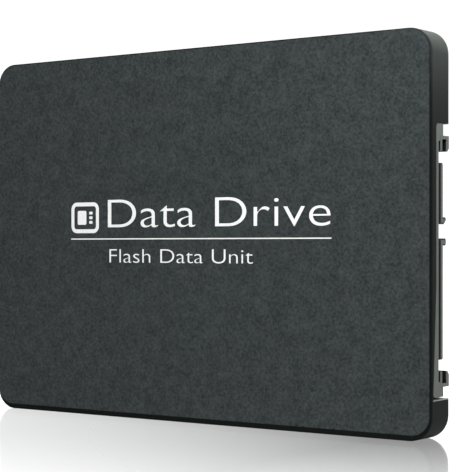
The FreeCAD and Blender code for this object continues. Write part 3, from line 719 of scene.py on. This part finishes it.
def add_label_print():
    """Rows of short bars, a bar pattern and a dot pattern: a label's look without words."""
    low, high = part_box("rear_label")
    near = high.y + PRINT_PROUD
    far = high.y - PRINT_SUNK
    chance = random.Random(LABEL_SEED)
    maker = bmesh.new()
    margin = LABEL_MARGIN

    def block(start, end, foot, head, radius=0.0):
        """One printed block, measured from the label's side at +X and from its bottom."""
        low_x, high_x = high.x - end, high.x - start
        low_z, high_z = low.z + foot, low.z + head
        if radius:
            corners = rounded(low_x, high_x, low_z, high_z, radius, 4)
        else:
            corners = ((low_x, low_z), (high_x, low_z), (high_x, high_z), (low_x, high_z))
        slab(maker, corners, far, near)

    wide = high.x - low.x
    tall = high.z - low.z
    block(margin, wide - margin, tall - 3.4 * MM, tall - 3.0 * MM)
    picture_x = (high.x - margin - 9.0 * MM, high.x - margin)
    picture_z = (high.z - 12.0 * MM, high.z - 5.0 * MM)
    pictogram(maker, *picture_x, *picture_z, far, near)
    for row in range(HEAD_ROWS):
        start = margin + 11.5 * MM
        end = start + (30.0 - 7.0 * row) * MM
        while start < end:
            length = chance.uniform(1.6, 5.0) * MM
            level = tall - (6.5 + 2.4 * row) * MM
            block(start, min(start + length, end), level, level + 1.1 * MM, 0.3 * MM)
            start += length + 0.9 * MM
    for row in range(TEXT_ROWS):
        level = tall - (16.0 + 2.2 * row) * MM
        for column, most in TEXT_COLUMNS:
            start = margin + column * MM
            end = start + chance.uniform(0.55, 1.0) * most * MM
            while start < end:
                length = chance.uniform(0.9, 3.6) * MM
                block(start, start + length, level, level + 0.7 * MM, 0.2 * MM)
                start += length + 0.6 * MM
    start = margin
    while start < margin + BARS_WIDE:
        length = chance.choice((0.2, 0.2, 0.4, 0.6)) * MM
        block(start, start + length, margin, margin + BARS_TALL)
        start += length + chance.choice((0.2, 0.3, 0.5)) * MM
    last = CELLS - 1
    for column in range(CELLS):
        for line in range(CELLS):
            solid_border = column == 0 or line == 0
            dashed_border = (column == last or line == last) and (column + line) % 2 == 0
            inside = 0 < column < last and 0 < line < last
            if solid_border or dashed_border or (inside and chance.random() < 0.5):
                start = wide - margin - (CELLS - column) * CELL
                foot = margin + line * CELL
                block(start, start + DOT, foot, foot + DOT)
    ink = moulded("label_ink", (0.012, 0.012, 0.014), (0.022, 0.022, 0.024), 0.5, 0.2, 0.003)
    piece_from(maker, "label_print", ink)


# ---------------------------------------------------------------- screws and inserts

SCREW_SEED = 3
SHANK_RADIUS = 0.72 * MM
SCREW_PITCH = 0.4 * MM
ROOT_DEPTH = 0.12 * MM
ARM_HALF_LONG = 0.78 * MM
ARM_HALF_WIDE = 0.17 * MM
ARM_LEVELS = ((1.0, 0.1 * MM), (0.95, 0.0), (0.45, -0.55 * MM))
THREAD_PITCH = 0.5 * MM
THREAD_DEPTH = 0.14 * MM
INSERT_BORE = 1.25 * MM
STEPS_PER_PITCH = 8
RUN_OUTS = 12.0
WAIST_DEPTH = 0.25 * MM
WAIST_START = 0.38
WAIST_END = 0.62
KNURL_DEPTH = 0.05 * MM
OUTWARDS = Matrix.Rotation(-math.pi / 2, 4, "X")


def finished_mesh(maker, name):
    """Turn a bmesh into a mesh with its normals outwards."""
    bmesh.ops.recalc_face_normals(maker, faces=maker.faces)
    mesh = bpy.data.meshes.new(name)
    maker.to_mesh(mesh)
    maker.free()
    return mesh


def recess_arm(turn):
    """One arm of a cross recess, narrowing downwards."""
    arm = bmesh.new()
    rims = []
    for share, level in ARM_LEVELS:
        x = ARM_HALF_LONG * share
        y = ARM_HALF_WIDE * (0.6 + 0.4 * share)
        corners = ((x, y), (-x, y), (-x, -y), (x, -y))
        rims.append([arm.verts.new((*corner, level)) for corner in corners])
    arm.faces.new(rims[0])
    arm.faces.new(rims[-1][::-1])
    for first, second in zip(rims, rims[1:]):
        for index in range(4):
            after = (index + 1) % 4
            arm.faces.new((first[index], second[index], second[after], first[after]))
    cutter = finished_mesh(arm, "recess_arm")
    cutter.transform(Matrix.Rotation(turn, 4, "Z"))
    return cutter


def add_case_screws():
    """Countersunk screws with a cross recess, a rounded rim and a threaded shank."""
    boxes = islands("case_screws")
    low, high = boxes[0]
    head = (high.x - low.x) / 2
    length = high.y - low.y
    profile = [
        (0, 0),
        (head * 0.93, 0),
        (head * 0.98, -0.03 * MM),
        (head, -0.09 * MM),
        (SHANK_RADIUS, -head + SHANK_RADIUS),
    ]
    for turn in range(int((length - head - 0.3 * MM) / SCREW_PITCH)):
        root = -head - (turn + 0.5) * SCREW_PITCH
        profile.append((SHANK_RADIUS - ROOT_DEPTH, root))
        profile.append((SHANK_RADIUS, root - SCREW_PITCH / 2))
    profile += [(SHANK_RADIUS - 0.25 * MM, -length), (0, -length)]
    maker = bmesh.new()
    lathe(maker, profile)
    cutters = [recess_arm(turn) for turn in (0.0, math.pi / 2)]
    screw = with_cuts(finished_mesh(maker, "one_screw"), cutters)
    chance = random.Random(SCREW_SEED)
    places = []
    for low, high in boxes:
        middle = ((low.x + high.x) / 2, high.y, (low.z + high.z) / 2)
        turned = Matrix.Rotation(chance.uniform(0, math.pi), 4, "Z")
        places.append(Matrix.Translation(middle) @ OUTWARDS @ turned)
    maker = bmesh.new()
    stamp(maker, screw, places)
    steel = metal("screw_steel", (0.34, 0.34, 0.33), (0.46, 0.46, 0.45), 0.3)
    piece = piece_from(maker, "case_screws_detailed", steel, smooth=True)
    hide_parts("case_screws")


def insert_mesh(name, radius, length, turns=48):
    """A brass sleeve from its mouth at Z 0 down to -length: knurled outside, threaded inside.

    The thread runs out at both ends, over one part in RUN_OUTS of the length.
    """
    maker = bmesh.new()
    steps = int(length / THREAD_PITCH * STEPS_PER_PITCH)
    inner = []
    outer = []
    for step in range(steps + 1):
        share = step / steps
        level = -share * length
        open_end = min(1.0, share * RUN_OUTS, (1.0 - share) * RUN_OUTS)
        waist = WAIST_DEPTH if WAIST_START < share < WAIST_END else 0.0
        inner_ring = []
        outer_ring = []
        for turn in range(turns):
            phase = (share * length / THREAD_PITCH + turn / turns) % 1.0
            ridge = THREAD_DEPTH * (1.0 - abs(2.0 * phase - 1.0)) * open_end
            knurl = KNURL_DEPTH if turn % 2 and 0 < step < steps else 0.0
            inside = INSERT_BORE + THREAD_DEPTH - ridge
            inner_ring.append(round_vertex(maker, inside, turn / turns, level))
            outer_ring.append(round_vertex(maker, radius - waist - knurl, turn / turns, level))
        inner.append(inner_ring)
        outer.append(outer_ring)
    rings = inner + outer[::-1]
    for first, second in zip(rings, rings[1:] + rings[:1]):
        for turn in range(turns):
            after = (turn + 1) % turns
            maker.faces.new((first[turn], second[turn], second[after], first[after]))
    mesh = bpy.data.meshes.new(name)
    maker.to_mesh(mesh)
    maker.free()
    return mesh


def add_inserts():
    """All eight threaded inserts, each turned so that its mouth is flush with its own side."""
    brass = metal("insert_brass", (0.50, 0.33, 0.12), (0.64, 0.44, 0.18), 0.3)
    boxes = islands("base_inserts")
    low, high = boxes[0]
    sleeve = insert_mesh("one_base_insert", (high.x - low.x) / 2, high.y - low.y)
    maker = bmesh.new()
    places = []
    for low, high in boxes:
        middle = ((low.x + high.x) / 2, high.y, (low.z + high.z) / 2)
        places.append(Matrix.Translation(middle) @ OUTWARDS)
    stamp(maker, sleeve, places)
    piece = piece_from(maker, "base_inserts_threaded", brass, smooth=True)
    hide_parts("base_inserts")

    boxes = islands("side_inserts")
    low, high = boxes[0]
    sleeve = insert_mesh("one_side_insert", (high.x - low.x) / 2, high.z - low.z)
    maker = bmesh.new()
    places = []
    for low, high in boxes:
        upper = high.z > MIDDLE_Z
        middle = ((low.x + high.x) / 2, (low.y + high.y) / 2, high.z if upper else low.z)
        turn = 0.0 if upper else math.pi
        places.append(Matrix.Translation(middle) @ Matrix.Rotation(turn, 4, "X"))
    stamp(maker, sleeve, places)
    piece = piece_from(maker, "side_inserts_threaded", brass, smooth=True)
    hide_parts("side_inserts")


# ---------------------------------------------------------------- stage

BACKDROP_TOWARDS = (-0.7071, 0.7071, 0.0)
BACKDROP_LEVEL = 1.05
ROOM_LEVEL = 0.2
TOP_PLACE = (0.0, -0.25, 0.9)
TOP_AIM = (0.0, 0.0, 0.03)
TOP_SIZE = 0.8
TOP_POWER = 4.5
CORNER_PLACE = (0.09, 0.0, 0.12)
CORNER_AIM = (0.05, 0.0, 0.076)
CORNER_SIZE = 0.01
CORNER_POWER = 0.012
CORNER_SPREAD = 0.35
FRONT_PLACE = (0.125, -0.09, 0.185)
FRONT_AIM = (0.03, 0.0, 0.05)
FRONT_SIZE = 0.06
FRONT_POWER = 0.75
FLOOR_HALF = 3.0
FLOOR_CELLS = 5
FLOOR_SHIFT = (0.3, 0.0, 0.0)
FLOOR_GLOW = 0.28


def add_floor():
    """A pale glossy table, with its seams away from the drive and a reflection that fades."""
    maker = bmesh.new()
    bmesh.ops.create_grid(maker, x_segments=FLOOR_CELLS, y_segments=FLOOR_CELLS, size=FLOOR_HALF)
    bmesh.ops.translate(maker, vec=FLOOR_SHIFT, verts=maker.verts)
    floor_mesh = bpy.data.meshes.new("floor")
    maker.to_mesh(floor_mesh)
    maker.free()
    floor = bpy.data.objects.new("floor", floor_mesh)
    bpy.context.scene.collection.objects.link(floor)
    surface = Surface("floor_white", (0.92, 0.92, 0.92), 0.09, Specular_IOR_Level=0.5)
    polish = surface.spread(surface.along("X"), 0.15, 1.0, -50.0 * MM, 40.0 * MM)
    away = surface.math("ABSOLUTE", surface.along("Y"))
    fading = surface.spread(away, 1.0, 0.0, 4.0 * MM, 130.0 * MM)
    surface.link(surface.math("MULTIPLY", polish, fading), surface.shader.inputs["Metallic"])
    surface.shader.inputs["Emission Color"].default_value = (1.0, 1.0, 1.0, 1.0)
    surface.shader.inputs["Emission Strength"].default_value = FLOOR_GLOW
    floor_mesh.materials.append(surface.material)
    return floor


def add_area(name, place, aim, size, power, spread=math.pi):
    """A square lamp that the camera doesn't see."""
    light = bpy.data.lights.new(name, "AREA")
    light.shape = "SQUARE"
    light.size = size
    light.energy = power
    light.spread = spread
    lamp = bpy.data.objects.new(name, light)
    lamp.location = place
    lamp.rotation_euler = (Vector(aim) - Vector(place)).to_track_quat("-Z", "Y").to_euler()
    lamp.visible_camera = False
    bpy.context.scene.collection.objects.link(lamp)
    return lamp


def smooth_range(tree, value, start, end, low, high):
    """Map a world value from start to end onto low to high, with soft ends."""
    made = tree.nodes.new("ShaderNodeMapRange")
    made.interpolation_type = "SMOOTHSTEP"
    for socket, number in (("From Min", start), ("From Max", end), ("To Min", low), ("To Max", high)):
        made.inputs[socket].default_value = number
    tree.links.new(value, made.inputs["Value"])
    return made.outputs["Result"]


def add_world():
    """A white backdrop behind the face's view and a white horizon, in a dimmer room."""
    world = bpy.data.worlds.new("studio")
    world.use_nodes = True
    tree = world.node_tree
    direction = tree.nodes.new("ShaderNodeTexCoord").outputs["Generated"]
    towards = tree.nodes.new("ShaderNodeVectorMath")
    towards.operation = "DOT_PRODUCT"
    towards.inputs[1].default_value = BACKDROP_TOWARDS
    tree.links.new(direction, towards.inputs[0])
    height = tree.nodes.new("ShaderNodeSeparateXYZ")
    tree.links.new(direction, height.inputs["Vector"])
    brighter = tree.nodes.new("ShaderNodeMath")
    brighter.operation = "MAXIMUM"
    fade = smooth_range(tree, towards.outputs["Value"], -0.1, 0.55, ROOM_LEVEL, BACKDROP_LEVEL)
    band = smooth_range(tree, height.outputs["Z"], 0.15, 0.45, BACKDROP_LEVEL, ROOM_LEVEL)
    tree.links.new(fade, brighter.inputs[0])
    tree.links.new(band, brighter.inputs[1])
    background = tree.nodes["Background"]
    tree.links.new(brighter.outputs["Value"], background.inputs["Strength"])
    background.inputs["Color"].default_value = (1.0, 1.0, 1.0, 1.0)
    bpy.context.scene.world = world


def add_lamps(floor):
    """A wide lamp above, one at the upper right front, and a small one for the upper corner."""
    add_area("top_light", TOP_PLACE, TOP_AIM, TOP_SIZE, TOP_POWER)
    corner = add_area("corner_light", CORNER_PLACE, CORNER_AIM, CORNER_SIZE, CORNER_POWER, CORNER_SPREAD)
    spared = bpy.data.collections.new("spared_by_corner_light")
    spared.objects.link(floor)
    spared.collection_objects[0].light_linking.link_state = "EXCLUDE"
    corner.light_linking.receiver_collection = spared
    add_area("front_light", FRONT_PLACE, FRONT_AIM, FRONT_SIZE, FRONT_POWER)


# ---------------------------------------------------------------- build

SOFTENED = (("connector_housing", 0.06), ("rear_cover", 0.08), ("controller_chip", 0.06))

add_camera()
paint_everything()
for node, width in SOFTENED:
    soften(node, width)
add_face_print()
add_label_print()
add_case_screws()
add_inserts()
add_world()
add_lamps(add_floor())
bpy.context.scene.view_settings.view_transform = "Standard"
